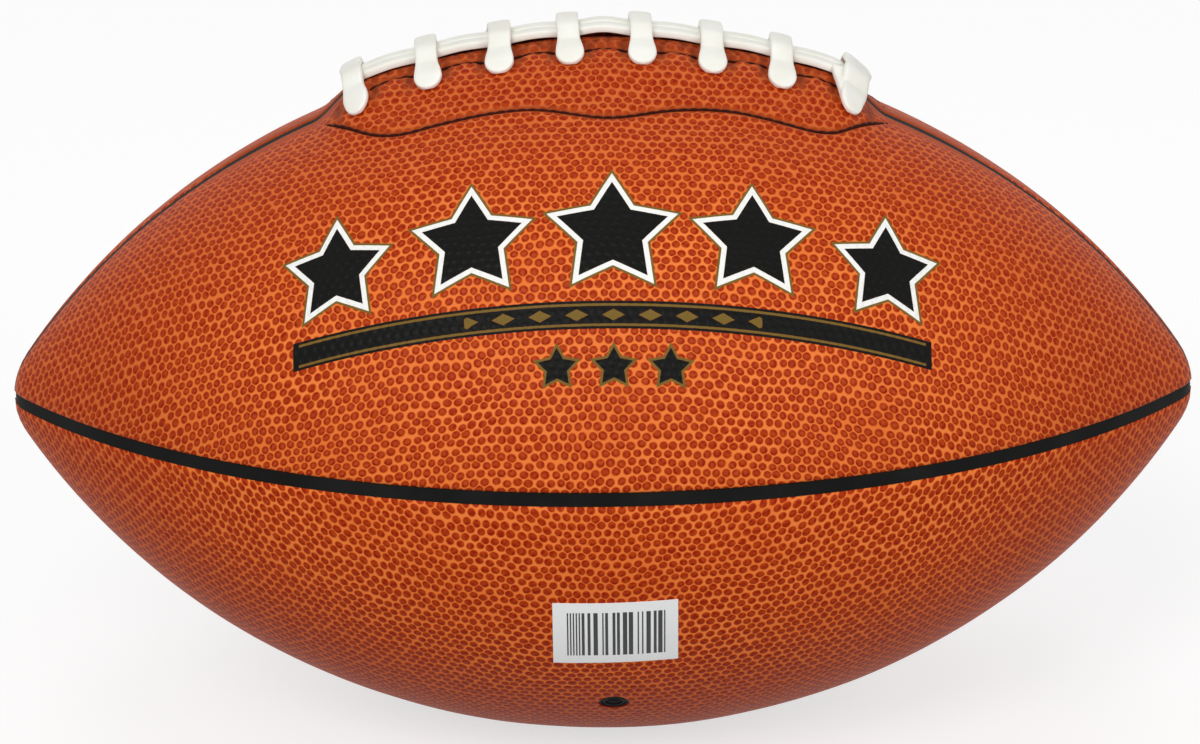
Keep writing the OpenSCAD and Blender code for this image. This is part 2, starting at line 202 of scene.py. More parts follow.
def inner_line(x):
    """The scalloped line beside the laces, with one scallop between each two. It lies nearer
    to the seam towards its ends."""
    share = ((x - 1.3) / LACE_PITCH + (LACE_COUNT - 1) / 2) % 1
    scallop = 2.7 * sin(pi * share) ** 0.8
    return 11.7 - 1.8 * smooth(15, 50, abs(x)) - scallop


# Meshes


def deselect():
    bpy.ops.object.select_all(action="DESELECT")


def steps(*runs):
    """Places along a line. A run is its start, its end and its number of cells."""
    places = [runs[0][0]]
    for start, end, cells in runs:
        places += [start + (end - start) * (k + 1) / cells for k in range(cells)]
    return places


def new_grid(name, columns, rows):
    """A flat grid with these numbers of cells, and the column and row of each vertex."""
    deselect()
    bpy.ops.mesh.primitive_grid_add(x_subdivisions=columns, y_subdivisions=rows, size=2)
    piece = bpy.context.object
    piece.name = name
    piece.data.name = name
    cells = [
        (round((v.co.x + 1) / 2 * columns), round((v.co.y + 1) / 2 * rows))
        for v in piece.data.vertices
    ]
    return piece, cells


def edit(*operations):
    """Runs edit mode operations on the whole of the active mesh."""
    bpy.ops.object.mode_set(mode="EDIT")
    bpy.ops.mesh.select_all(action="SELECT")
    for operation in operations:
        operation()
    bpy.ops.object.mode_set(mode="OBJECT")


def merge():
    bpy.ops.mesh.remove_doubles(threshold=0.004 * MM)


def outwards():
    bpy.ops.mesh.normals_make_consistent(inside=False)


def only(piece):
    deselect()
    piece.select_set(True)
    bpy.context.view_layer.objects.active = piece


def modify(piece, kind, **settings):
    only(piece)
    modifier = piece.modifiers.new(kind.title(), kind)
    for key, value in settings.items():
        setattr(modifier, key, value)
    bpy.ops.object.modifier_apply(modifier=modifier.name)


def give_wall(piece, thickness):
    """Makes a sheet into a closed wall, inwards from its face."""
    modify(piece, "SOLIDIFY", thickness=thickness * MM, offset=-1, use_quality_normals=False)


def give_map(mesh, name, spots):
    """Puts a UV map in the place of the grid's own, with a spot for each vertex."""
    mesh.uv_layers.remove(mesh.uv_layers[0])
    pattern = mesh.uv_layers.new(name=name)
    for loop in mesh.loops:
        pattern.data[loop.index].uv = spots[loop.vertex_index]


def soften(piece, angle=50):
    only(piece)
    bpy.ops.object.shade_smooth_by_angle(angle=radians(angle))


def join(name, pieces):
    only(pieces[0])
    for piece in pieces[1:]:
        piece.select_set(True)
    if len(pieces) > 1:
        bpy.ops.object.join()
    whole = bpy.context.object
    whole.name = name
    whole.data.name = name
    return whole


def tube(name, route, around, roundness=2.6):
    """A closed strap through sections. A section is its middle, the way across, its width
    and its thickness. A first or last section without width closes to a point."""
    piece, cells = new_grid(name, len(route) - 1, around)
    corners = []
    for k in range(around):
        turn = 2 * pi * k / around
        c, s = cos(turn), sin(turn)
        corners.append((
            abs(c) ** (2 / roundness) * (1 if c > 0 else -1) / 2,
            abs(s) ** (2 / roundness) * (1 if s > 0 else -1) / 2,
        ))
    frames = []
    for i, (middle, across, width, thickness) in enumerate(route):
        along = (route[min(i + 1, len(route) - 1)][0] - route[max(i - 1, 0)][0]).normalized()
        across = (across - along * across.dot(along)).normalized()
        frames.append((middle, across * width, along.cross(across) * thickness))
    for vertex, (i, k) in zip(piece.data.vertices, cells):
        middle, wide, thick = frames[i]
        a, b = corners[k % around]
        vertex.co = (middle + wide * a + thick * b) * MM
    edit(merge, outwards)
    return piece


# Cover panels

END_R = 2.35
PANEL_END = SIDE_R * ARC_END_ANGLE + TIP_R * (pi / 2 - ARC_END_ANGLE - asin(END_R / TIP_R))
LACED_END = 72
FINE_COLUMNS = steps(
    (-PANEL_END, -LACED_END, 36), (-LACED_END, LACED_END, 230), (LACED_END, PANEL_END, 36)
)
PLAIN_COLUMNS = steps((-PANEL_END, PANEL_END, 150))

# Rows across a panel, as shares of its width, close together at the rolled edges
EDGE_SHARE = 0.02
LACED_SHARE = 0.29
FINE_ROWS = steps(
    (0, EDGE_SHARE, 5), (EDGE_SHARE, LACED_SHARE, 54),
    (LACED_SHARE, 1 - EDGE_SHARE, 34), (1 - EDGE_SHARE, 1, 5),
)
PLAIN_ROWS = steps((0, EDGE_SHARE, 5), (EDGE_SHARE, 1 - EDGE_SHARE, 56), (1 - EDGE_SHARE, 1, 5))

ROLL_R = 1.5
ROLL_DROP = 0.75

# Each panel is cut from another place of the pebbled sheet
SHEET_SHIFT = {
    "cover_top_front": (0, 0),
    "cover_top_back": (187, 61),
    "cover_bottom_front": (331, 143),
    "cover_bottom_back": (518, 204),
}


# Far enough from the inner line for it to do nothing
NO_INNER_LINE = 4


def rolled_edge(distance):
    """How far the cover has turned down at this distance from its edge."""
    share = 1 - min(max(distance / ROLL_R, 0), 1)
    return ROLL_DROP * (1 - sqrt(1 - share * share))


# The lower front panel's number in the swells: twice its side of Y and its side of Z
LOWER_FRONT = -3


def unevenness(x, angle, side):
    """The slow swells of a stuffed cover, others on each panel."""
    spot = Vector((x / 34, angle * 2.1, side * 7.3))
    return 0.22 * noise.noise(spot) + 0.05 * noise.noise(spot * 3.7)


def lacing_relief(x, y):
    """Height, smoothness and painted shade of the leather near the lacing, y from the seam."""
    inside = 1 - smooth(63, 68, abs(x - STITCH_MIDDLE))
    if inside == 0:
        return 0, 0, 0
    # Each stitch line draws a groove, and the leather swells beside it
    outer = y - outer_line(x)
    height = -0.62 * bump(outer, 0.85) + 0.22 * bump(abs(outer) - 2.3, 1.2)
    if abs(x) < LACE_SPAN / 2:
        inner = y - inner_line(x)
        height += -0.5 * bump(inner, 0.75) + 0.3 * bump(inner + 2.6, 1.6)
    else:
        inner = NO_INNER_LINE
    # The laces dent the leather at their feet, pucker it beside them and fold it between
    press = min(abs(x - foot) for foot in FEET)
    height -= 0.6 * bump(hypot(press, y - HOLE_Y), 3.6)
    pucker = bump(press - 4.4, 1.3) * bump(y - 9, 4)
    height -= 0.4 * pucker
    fold = sin(x * 1.9 + 3 * noise.noise(Vector((x / 6, y / 3, 5))))
    height += 0.22 * fold * bump(y - 7.5, 2.8)
    # The grain is pressed smooth there and along the stitch lines; painted shade darkens
    # the band beside the strands, the puckers, the folds and the stitch grooves
    sheen = shade = 0
    if abs(x) < LACE_SPAN / 2:
        blotch = 0.5 + 0.9 * noise.noise(Vector((x / 2.6, y / 1.7, 9)))
        sheen = (1 - smooth(-1.6, 0.4, inner)) * min(max(0.06 + blotch * 0.4, 0), 1)
        shade = (1 - smooth(-2.2, -0.4, inner)) * (0.5 - 0.4 * fold)
    sheen = max(sheen, 0.7 * pucker, bump(outer, 0.8), 0.75 * bump(inner, 0.9))
    shade = max(shade, pucker, 0.6 * bump(inner, 0.8), 0.5 * bump(outer, 0.8))
    return height * inside, sheen * inside, shade * inside


def seam_sheen(x, y):
    """How smooth the thinned leather is beside the top seam, past the ends of the lacing."""
    along = smooth(58, 63, abs(x)) * (1 - smooth(84, 100, abs(x)))
    return 0.75 * (1 - smooth(3, 9, y)) * along


def make_panel(name, y_side, z_side, node):
    """One quarter of the cover: a grid laid over it, rolled in at its seams, given its wall."""
    laced = z_side > 0
    shift = SHEET_SHIFT[name]
    columns = FINE_COLUMNS if laced else PLAIN_COLUMNS
    rows = FINE_ROWS if laced else PLAIN_ROWS
    piece, cells = new_grid(name, len(columns) - 1, len(rows) - 1)
    spots, smoothed, painted_shade = [], [], []
    for vertex, (i, j) in zip(piece.data.vertices, cells):
        u = columns[i]
        x = place_along(u)
        r = ball_radius(x)
        near = SEAM_HALF
        if laced:
            slit = 1 - smooth(SLIT_HALF - 1, SLIT_HALF + 1, abs(x))
            near += (SLIT_HALF_WIDTH - SEAM_HALF) * slit
        first = asin(near / (cover_radius(x, 0) if laced else r))
        last = pi / 2 - asin(SEAM_HALF / r)
        angle = first + (last - first) * rows[j]
        out = cover_radius(x, angle) if laced else r
        height = sheen = shade = 0
        if laced:
            y = out * sin(angle)
            height, sheen, shade = lacing_relief(x, y)
            sheen = max(sheen, seam_sheen(x, y))
        height -= rolled_edge(r * (angle - first)) + rolled_edge(r * (last - angle))
        height += unevenness(x, angle, 2 * y_side + z_side) * min(1, r / 30)
        out += height
        vertex.co = Vector((x, y_side * sin(angle) * out, z_side * cos(angle) * out)) * MM
        spots.append((u + shift[0], r * (angle - pi / 4) + shift[1]))
        smoothed.append(sheen)
        painted_shade.append(shade)
    mesh = piece.data
    give_map(mesh, "cover", spots)
    # The second mask is painted shade in the creases and grooves beside the lacing
    for word, values in (("smoothed", smoothed), ("painted_shade", painted_shade)):
        mask = mesh.attributes.new(word, "FLOAT", "POINT")
        for k, value in enumerate(values):
            mask.data[k].value = value
    mesh.update()
    middle = mesh.polygons[len(mesh.polygons) // 2]
    if middle.normal.dot(Vector((0, y_side, z_side))) < 0:
        edit(bpy.ops.mesh.flip_normals)
    give_wall(piece, PANEL_T)
    soften(piece)
    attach(piece, "root")
    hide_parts(node)
    return piece


CUTTER_LENGTH = 14


def bore(piece, places):
    """Punches round holes through a piece. A place is a point, a direction and a diameter."""
    cutters = []
    for point, direction, diameter in places:
        deselect()
        bpy.ops.mesh.primitive_cylinder_add(
            vertices=32, radius=diameter / 2 * MM, depth=CUTTER_LENGTH * MM,
            location=point * MM, rotation=direction.to_track_quat("Z", "Y").to_euler(),
        )
        cutters.append(bpy.context.object)
    cutter = join("hole_cutter", cutters)
    modify(piece, "BOOLEAN", operation="DIFFERENCE", object=cutter, solver="EXACT")
    bpy.data.objects.remove(cutter, do_unlink=True)


def lace_x(k):
    """The even place of cross lace k along the ball."""
    return (k - (LACE_COUNT - 1) / 2) * LACE_PITCH


def hole_x(k, y):
    """Where the hole of cross lace k is along the ball, in the front row or the back one."""
    return FEET[k] if y < 0 else lace_x(k) + BACK_HOLE_SHIFT


def make_cover():
    panels = {}
    for y_side, word in ((-1, "front"), (1, "back")):
        top = make_panel("cover_top_" + word, y_side, 1, "panel_top_" + word)
        holes = []
        for k in range(LACE_COUNT):
            x, y = hole_x(k, y_side), y_side * COVER_HOLE_Y
            holes.append((over_mound(x, y, 0), outwards_at(x, y), COVER_HOLE_D))
        bore(top, holes)
        soften(top)
        panels["top_" + word] = top
        low = make_panel("cover_bottom_" + word, y_side, -1, "panel_bottom_" + word)
        panels["bottom_" + word] = low
    out = Vector((0, -cos(VALVE_ANGLE), -sin(VALVE_ANGLE)))
    middle = out * BALL_R + Vector((VALVE_X, 0, 0))
    bore(panels["bottom_front"], [(middle, out, VALVE_D + 2 * VALVE_GAP)])
    soften(panels["bottom_front"])
    return panels


def make_top_strip(name, side, node):
    """The rubber strip that climbs the end of the mound, sunk a little between the panels."""
    lengths = steps((SLIT_HALF, LACED_END, 40), (LACED_END, PANEL_END, 60))
    piece, cells = new_grid(name, len(lengths) - 1, 4)
    for vertex, (i, j) in zip(piece.data.vertices, cells):
        x = place_along(lengths[i])
        y = SEAM_HALF * (j / 2 - 1)
        r = cover_radius(x, 0) - SEAM_RECESS
        vertex.co = Vector((side * x, y, sqrt(r * r - y * y))) * MM
    edit(merge, outwards)
    if piece.data.polygons[0].normal.z < 0:
        edit(bpy.ops.mesh.flip_normals)
    give_wall(piece, PANEL_T - SEAM_RECESS)
    soften(piece)
    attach(piece, "root")
    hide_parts(node)
    return piece


# Lace

CROSS_W = 5.4
LAST_CROSS_W = 7.4
FOOT_W = 6.9
FOOT_FROM = 12.3
FOOT_TO = 15.6
END_TAPER_FROM = 11.2
LOW = LACE_GAP + LACE_T / 2
HIGH = LOW + LACE_GAP + LACE_T

# How far the cross laces at the ends tilt with the mound's slope, as a share of it
TILT_SHARES = {0: 0.62, LACE_COUNT - 1: 0.85}

# The lace's way down through a hole: how far along it has swung, and its height there
HOLE_STEPS = ((1, 0.4), (1, -1), (0.5, -2.5), (0.3, -4.4))
BACK_HOLE_STEPS = ((0.7, 0.4), (0.7, -1), (0.5, -2.5), (0.2, -4.4))
DEEP = -(STAY_DEPTH + LACE_GAP + LACE_T / 2)

rng = Random(28)


def cross_strap(k):
    """One cross lace, from the rounded foot over the front hole to the one over the back hole."""
    tilt = TILT_SHARES.get(k, 1)
    taper_from = END_TAPER_FROM if k in TILT_SHARES else FOOT_FROM
    top_w = LAST_CROSS_W if k == LACE_COUNT - 1 else CROSS_W
    swell = rng.uniform(0.97, 1.04)
    stations = steps((-FOOT_TO, -FOOT_FROM, 10), (-FOOT_FROM, FOOT_FROM, 44), (FOOT_FROM, FOOT_TO, 10))
    route = []
    for y in stations:
        out = abs(y)
        share = min(max((out - taper_from) / (FOOT_TO - taper_from), 0), 1)
        cap = sqrt(1 - share * share)
        x = TOPS[k] + (hole_x(k, y) - TOPS[k]) * min(out / FOOT_FROM, 1)
        # It rises over the two strands in the middle, and its foot sinks a little
        width = top_w + (FOOT_W - top_w) * smooth(6.5, 13, out)
        lift = LOW + (HIGH - LOW) * (1 - smooth(3.9, 8.6, out)) - 0.5 * smooth(11, FOOT_TO, out)
        lift -= 0.25 * share
        rise = slope(x) * (tilt + (1 - tilt) * smooth(4, 12, out))
        across = ALONG_BALL + outwards_at(x, y) * rise
        thick = LACE_T * (1 - 0.12 * smooth(8, 13, out)) * (0.55 + 0.45 * cap)
        middle = over_mound(x, y, lift * sqrt(1 + rise * rise))
        route.append((middle, across, width * cap * swell, thick if cap else 0))
    return tube("cross_strap", route, around=24, roundness=4.5)


def spare_end():
    """The lace's tail, tucked down beside the last cross, with a rounded end."""
    route = []
    cap_from = 0.75
    for share in steps((0, cap_from, 9), (cap_from, 1, 8)):
        x, y = 56.5 + 2 * share, -3.6 - 10.2 * share
        cap = sqrt(1 - max((share - cap_from) / (1 - cap_from), 0) ** 2)
        lift = LOW + 0.9 * (1 - smooth(0, 0.3, share)) - 0.7 * smooth(cap_from, 1, share)
        across = ALONG_BALL + outwards_at(x, y) * slope(x)
        thick = LACE_T * 0.9 * (0.5 + 0.5 * cap) if cap else 0
        route.append((over_mound(x, y, lift), across, 3.9 * cap, thick))
    return tube("spare_end", route, around=20, roundness=4)


STRAND_BEND = 2.4
STRAND_END_W = 1.9
STRAND_END_Y = 1.1
STRAND_REACH = SLIT_HALF - LACE_T / 2 - 0.4


def long_strand(y_side):
    """One of the two strands that run along the slit, bowed between the cross laces. It
    bends down into the slit at both ends and narrows there."""
    y = y_side * (STRAND_W + LACE_GAP) / 2
    flat = STRAND_REACH - STRAND_BEND
    bends = []
    for turn in (30, 60, 90):
        a = radians(turn)
        bends.append((flat + STRAND_BEND * sin(a), y, LOW - STRAND_BEND + STRAND_BEND * cos(a)))
    bends.append((STRAND_REACH, y, -STAY_DEPTH))
    route = [(-x, side, lift) for x, side, lift in reversed(bends)]
    for s in steps((-flat, flat, 112)):
        bow = (0.9 if abs(s) < LACE_PITCH / 2 else 0.35) * sin(pi * ((s - 0.9) / LACE_PITCH + 0.5)) ** 2
        route.append((s, y, LOW + bow))
    across = Vector((0, 1, 0))
    sections = []
    for x, side, lift in route + bends:
        narrow = smooth(flat, STRAND_REACH, abs(x))
        width = STRAND_W + (STRAND_END_W - STRAND_W) * narrow
        side += y_side * (STRAND_END_Y - STRAND_W / 2 - LACE_GAP / 2) * narrow
        sections.append((over_mound(x, side, lift), across, width, LACE_T + 0.5 * narrow))
    return tube("long_strand", sections, around=24, roundness=5)


def inside_strap(name, route, width, thickness):
    sections = [(over_mound(x, y, lift), ALONG_BALL, width, thickness) for x, y, lift in route]
    return tube(name, sections, around=12)


def inside_run(k):
    """The lace inside, from the back hole of one cross to the front hole of the next."""
    a, b = lace_x(k), lace_x(k + 1)
    route = [(a + shift, HOLE_Y, lift) for shift, lift in BACK_HOLE_STEPS]
    for step in range(1, 10):
        share = step / 10
        route.append((a + (b - a) * share, HOLE_Y * (1 - 2 * share), DEEP))
    out = FEET[k + 1] - b
    route += [(b + shift * out, -HOLE_Y, lift) for shift, lift in reversed(HOLE_STEPS)]
    return inside_strap("inside_run", route, 3.4, 2.1)


def end_run(side):
    """The lace inside, from an end hole to the strand that is tucked down beside it."""
    x = side * LACE_SPAN / 2
    out = FEET[0] - x if side < 0 else BACK_HOLE_SHIFT
    route = [(x + shift * out, side * HOLE_Y, lift) for shift, lift in HOLE_STEPS]
    route += [(x, side * HOLE_Y * (1 - step / 8) + side * step / 8, DEEP) for step in range(1, 9)]
    return inside_strap("end_run", route, 3.3, 2)


def make_lace():
    straps = [cross_strap(k) for k in range(LACE_COUNT)]
    strands = [long_strand(-1), long_strand(1)]
    runs = [inside_run(k) for k in range(LACE_COUNT - 1)]
    runs += [end_run(-1), end_run(1), spare_end()]
    lace = join("lace_strap", straps + strands + runs)
    soften(lace, 60)
    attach(lace, "root")
    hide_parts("lace")
    return lace


# Label


def make_label():
    """The film label, laid on the lower front panel. Its map is in millimetres."""
    columns = steps((-LABEL_LENGTH / 2, LABEL_LENGTH / 2, 48))
    rows = steps((-LABEL_HEIGHT / 2, LABEL_HEIGHT / 2, 32))
    piece, cells = new_grid("label_sheet", len(columns) - 1, len(rows) - 1)
    spots = []
    for vertex, (i, j) in zip(piece.data.vertices, cells):
        along, up = columns[i], rows[j]
        x = LABEL_X + along
        r = ball_radius(x)
        angle = pi / 2 - LABEL_ANGLE + asin((up + LABEL_TILT * along) / r)
        r += unevenness(x, angle, LOWER_FRONT) + LABEL_GAP + LABEL_T
        vertex.co = Vector((x, -sin(angle) * r, -cos(angle) * r)) * MM
        spots.append((along, up))
    mesh = piece.data
    give_map(mesh, "film", spots)
    mesh.update()
    if mesh.polygons[0].normal.y > 0:
        edit(bpy.ops.mesh.flip_normals)
    give_wall(piece, LABEL_T)
    soften(piece)
    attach(piece, "root")
    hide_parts("label")
    return piece


# Stitching

STITCH = 2.5
POINTS_A_STITCH = 5
OUTER_THREAD = 0.95
INNER_THREAD = 0.6
THREAD_DEPTH = 0.5
LINE_STEP = 0.05


def along_line(line, start, end, y_side):
    """Evenly spaced points on the cover along a stitch line, and the way out at each."""
    points = []
    x = start
    last = None
    while x <= end:
        y = line(x)
        # The angle from the top at which the cover is y from the seam, found by steps
        angle = 0.2
        for _ in range(6):
            angle = asin(y / cover_radius(x, angle))
        r = cover_radius(x, angle)
        spot = Vector((x, y_side * sin(angle) * r, cos(angle) * r))
        if last is None or (spot - last).length >= STITCH / POINTS_A_STITCH:
            points.append((spot, Vector((0, spot.y, spot.z)).normalized()))
            last = spot
        x += LINE_STEP
    return points


def stitches(name, runs):
    """Waxed cord lying in its groove, drawn down a little at each needle hole."""
    cords = []
    for thickness, points in runs:
        route = []
        for i, (spot, out) in enumerate(points):
            before, after = points[max(i - 1, 0)][0], points[min(i + 1, len(points) - 1)][0]
            across = (after - before).cross(out)
            pulled = abs(cos(pi * i / POINTS_A_STITCH)) ** 4
            width = thickness * (1 - 0.2 * pulled)
            if i in (0, len(points) - 1):
                width = 0
            route.append((spot - out * (THREAD_DEPTH + 0.12 * pulled), across, width, width))
        cords.append(tube("cord", route, around=8, roundness=2))
    row = join(name, cords)
    soften(row, 80)
    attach(row, "root")
    return row


def make_stitching():
    rows = []
    for y_side, word in ((-1, "front"), (1, "back")):
        start, end = STITCH_MIDDLE - STITCH_REACH, STITCH_MIDDLE + STITCH_REACH
        runs = [(OUTER_THREAD, along_line(outer_line, start, end, y_side))]
        for a, b in zip(FEET, FEET[1:]):
            runs.append((INNER_THREAD, along_line(inner_line, a + 3, b - 3, y_side)))
        rows.append(stitches("lacing_stitches_" + word, runs))
    return rows


# Materials


class Amount:
    """A node's output that takes part in Python arithmetic. Each expression adds Math nodes."""

    def __init__(self, recipe, socket):
        self.recipe, self.socket = recipe, socket

    def math(self, operation, *others):
        values = dict(enumerate((self, *others)))
        return self.recipe.add("ShaderNodeMath", {"operation": operation}, values)

    def __add__(self, other):
        return self.math("ADD", other)

    __radd__ = __add__

    def __sub__(self, other):
        return self.math("SUBTRACT", other)

    def __rsub__(self, other):
        return self.recipe.add("ShaderNodeMath", {"operation": "SUBTRACT"}, {0: other, 1: self})

    def __mul__(self, other):
        return self.math("MULTIPLY", other)

    __rmul__ = __mul__

    def __truediv__(self, other):
        return self.math("DIVIDE", other)

    def __pow__(self, other):
        return self.math("POWER", other)

    def __abs__(self):
        return self.math("ABSOLUTE")

    def smoother(self, start, end):
        """0 at start and 1 at end, with soft shoulders. start may be the larger."""
        sockets = {"Value": self, "From Min": start, "From Max": end}
        return self.recipe.add("ShaderNodeMapRange", {"interpolation_type": "SMOOTHSTEP"}, sockets)

    def inside(self, edge, blur=0.06):
        """1 below the edge and 0 above it, blurred a little to both sides."""
        return self.smoother(edge + blur, edge - blur)


class Recipe:
    """The nodes of a new material, or of the world."""

    def __init__(self, owner, surface="Principled BSDF"):
        self.owner = owner
        owner.use_nodes = True
        self.tree = owner.node_tree
        self.surface = self.tree.nodes[surface]

    def add(self, kind, settings=None, sockets=None, output=0):
        """Any node: its type, its settings and its sockets' values or links."""
        node = self.tree.nodes.new(kind)
        for key, value in (settings or {}).items():
            setattr(node, key, value)
        for key, value in (sockets or {}).items():
            self.feed(node.inputs[key], value)
        return Amount(self, node.outputs[output])

    def feed(self, socket, value):
        if isinstance(value, Amount):
            self.tree.links.new(value.socket, socket)
        else:
            socket.default_value = value

    def vector(self, operation, *values, output=0):
        sockets = dict(enumerate(values))
        return self.add("ShaderNodeVectorMath", {"operation": operation}, sockets, output)

    def split(self, vector):
        parts = self.add("ShaderNodeSeparateXYZ", {}, {0: vector})
        outputs = parts.socket.node.outputs
        return Amount(self, outputs[0]), Amount(self, outputs[1]), Amount(self, outputs[2])

    def blend(self, share, first, second):
        """A colour from first to second."""
        sockets = {0: share, 6: first, 7: second}
        return self.add("ShaderNodeMix", {"data_type": "RGBA"}, sockets, 2)

    def noise(self, vector, scale, detail=2.0, roughness=0.5, output=0):
        sockets = {"Vector": vector, "Scale": scale, "Detail": detail, "Roughness": roughness}
        return self.add("ShaderNodeTexNoise", {}, sockets, output)

    def position(self):
        return self.add("ShaderNodeTexCoord", output="Object")

    def attribute(self, name):
        """A number that the mesh carries at each vertex."""
        return self.add("ShaderNodeAttribute", {"attribute_name": name}, output="Fac")

    def uneven(self, strength, depth, height):
        """The normal of small relief, up to depth millimetres."""
        sockets = {"Strength": strength, "Distance": depth * MM, "Height": height}
        return self.add("ShaderNodeBump", {}, sockets)

    def seen(self):
        """1 for what the camera sees, also off or through shiny things, and 0 for lighting."""
        rays = self.add("ShaderNodeLightPath", output="Is Camera Ray")
        others = rays.socket.node.outputs
        for word in ("Is Glossy Ray", "Is Transmission Ray"):
            rays = rays.math("MAXIMUM", Amount(self, others[word]))
        return rays

    def finish(self, **sockets):
        """Feeds the surface: a key is a socket's name with _ for each space."""
        for key, value in sockets.items():
            self.feed(self.surface.inputs[key.replace("_", " ")], value)
        return self.owner


def new_recipe(name):
    return Recipe(bpy.data.materials.new(name))


def rgb(red, green, blue):
    """A display colour from 0 to 255 a channel, as the linear values that a socket takes."""
    def linear(value):
        value /= 255
        return value / 12.92 if value <= 0.04045 else ((value + 0.055) / 1.055) ** 2.4
    return linear(red), linear(green), linear(blue), 1


PEBBLE_PITCH = 2.35
ROOT3 = sqrt(3)

# Where the second set of pebbles takes its rows, any whole number and a half off the first
SECOND_ROWS = (37.5, 91.5, 0)


def pebbles(recipe, place):
    """Distance to the nearest pebble's middle, in pitches, and how far off the border with a
    pebble of the other set is. The pebbles stand in two sets of rows set half a pitch apart,
    each shifted a little at random, on a slowly wandering pattern."""
    spread = recipe.vector("SCALE", place)
    recipe.feed(spread.socket.node.inputs["Scale"], 1 / PEBBLE_PITCH)
    drift = recipe.noise(spread, 0.09, 1.0, output="Color")
    drift = recipe.vector("SUBTRACT", drift, (0.5, 0.5, 0.5))
    spread = recipe.vector("MULTIPLY_ADD", drift, (1.7, 1.7, 0), spread)
    distances = []
    for shift in ((0, 0, 0), SECOND_ROWS):
        rows = recipe.vector("MULTIPLY_ADD", spread, (1, 1 / ROOT3, 0), shift)
        settings = {"voronoi_dimensions": "2D"}
        sockets = {"Vector": rows, "Scale": 1.0, "Randomness": 0.16}
        spot = recipe.add("ShaderNodeTexVoronoi", settings, sockets, "Position")
        away = recipe.vector("SUBTRACT", rows, spot)
        away = recipe.vector("MULTIPLY", away, (1, ROOT3, 0))
        distance = recipe.vector("LENGTH", away, output="Value")
        size = recipe.split(Amount(recipe, spot.socket.node.outputs["Color"]))[0]
        distances.append(distance * (0.95 + 0.12 * size))
    first, second = distances
    return first.math("MINIMUM", second), abs(first - second)


PEBBLE_DARK = rgb(150, 28, 0)
PEBBLE_LIGHT = rgb(184, 64, 12)
# The painted highlight in the pebbles' hearts
PAINTED_PEBBLE_HIGHLIGHT = rgb(198, 84, 44)
# Painted shade on the pebbles towards the bottom
PAINTED_UNDERSIDE_SHADE = rgb(116, 14, 0)
NET = rgb(248, 134, 64)
NET_RIM = rgb(230, 112, 48)
NET_DULL = rgb(238, 120, 52)
# Painted shade on the net towards the tips, the top and the bottom
NET_PAINTED_SHADE = rgb(208, 98, 46)
SMOOTH_LEATHER = rgb(142, 46, 18)
LEATHER_SHINE = 0.07
# Painted shade in the creases and stitch grooves beside the lacing
PAINTED_CREASE_SHADE = rgb(66, 20, 6)
PRINT_BLACK = rgb(16, 17, 15)
PRINT_WHITE = rgb(250, 250, 246)
PRINT_GOLD = rgb(122, 98, 42)

# The print, in millimetres on the sheet. V runs down from its middle: a row of large stars,
# an arched band with lozenges, and a row of small stars.
PRINT_U = 2.5
PRINT_V = -2
STAR_SIZE = 13.4
STAR_NOTCH = 0.53
STAR_PITCH = 32.5
STAR_V = 3.2
BAND_V = 23.4
BAND_HALF = 3.26
BAND_HALF_LENGTH = 76
STRIPE_OFF = 2.35
STRIPE_HALF = 0.28
STRIPE_HALF_LENGTH = 74.5
LOZENGE_PITCH = 8.4
LOZENGE_HALF_LENGTH = 2.6
LOZENGE_HALF = 1.35
LOZENGES_END = 34.2
SMALL_SIZE = 4.6
SMALL_PITCH = 13
SMALL_V = 35.4

# Painted shade dims the net from the middle out to about this oval in X and Z, in millimetres
OVAL_HALF_LENGTH = 118
OVAL_HALF_HEIGHT = 70
OVAL_Z = 8


def star(recipe, x, y, size):
    """Signed distance to a five-pointed star's outline. Its upper point is at y = -size."""
    reach = (x * x + y * y) ** 0.5
    angle = recipe.add("ShaderNodeMath", {"operation": "ARCTAN2"}, {0: x, 1: 0 - y})
    fold = angle.math("PINGPONG", pi / 5)
    along, out = reach * fold.math("SINE"), reach * fold.math("COSINE")
    notch_x, notch_y = STAR_NOTCH * sin(pi / 5), STAR_NOTCH * cos(pi / 5)
    length = hypot(notch_x, 1 - notch_y)
    return (along * ((1 - notch_y) / length)) + ((out - size) * (notch_x / length))


def print_layers(recipe, u, v):
    """Black, white and gold coverage of the printed design: stars over a banded arc."""
    index = (u / STAR_PITCH).math("ROUND").math("MAXIMUM", -2).math("MINIMUM", 2)
    size = STAR_SIZE - abs(index) * 1.1
    x = u - index * STAR_PITCH
    y = v - (STAR_V + index * index * 0.9)
    big = star(recipe, x, y, size)
    black = big.inside(0)
    white = big.inside(1.2) * (1 - black)
    gold = big.inside(1.76) * big.smoother(1.14, 1.26)
    lift = v - (BAND_V + u * u * 0.00035)
    band = abs(lift).inside(BAND_HALF) * abs(u).inside(BAND_HALF_LENGTH, 0.1)
    stripe = abs(abs(lift) - STRIPE_OFF).inside(STRIPE_HALF)
    stripe = stripe * abs(u).inside(STRIPE_HALF_LENGTH, 0.1)
    cell = u - (u / LOZENGE_PITCH).math("ROUND") * LOZENGE_PITCH
    lozenge = (abs(cell) / LOZENGE_HALF_LENGTH + abs(lift) / LOZENGE_HALF).inside(1)
    lozenge = lozenge * abs(u).inside(LOZENGES_END, 0.1)
    marks = (stripe + lozenge).math("MINIMUM", 1)
    index = (u / SMALL_PITCH).math("ROUND").math("MAXIMUM", -1).math("MINIMUM", 1)
    small = star(recipe, u - index * SMALL_PITCH, v - SMALL_V, SMALL_SIZE)
    inked = small.inside(0)
    edged = small.inside(0.56) * (1 - inked)
    black = (black + band * (1 - marks) + inked).math("MINIMUM", 1)
    gold = (gold + band * marks + edged).math("MINIMUM", 1)
    return black, white, gold


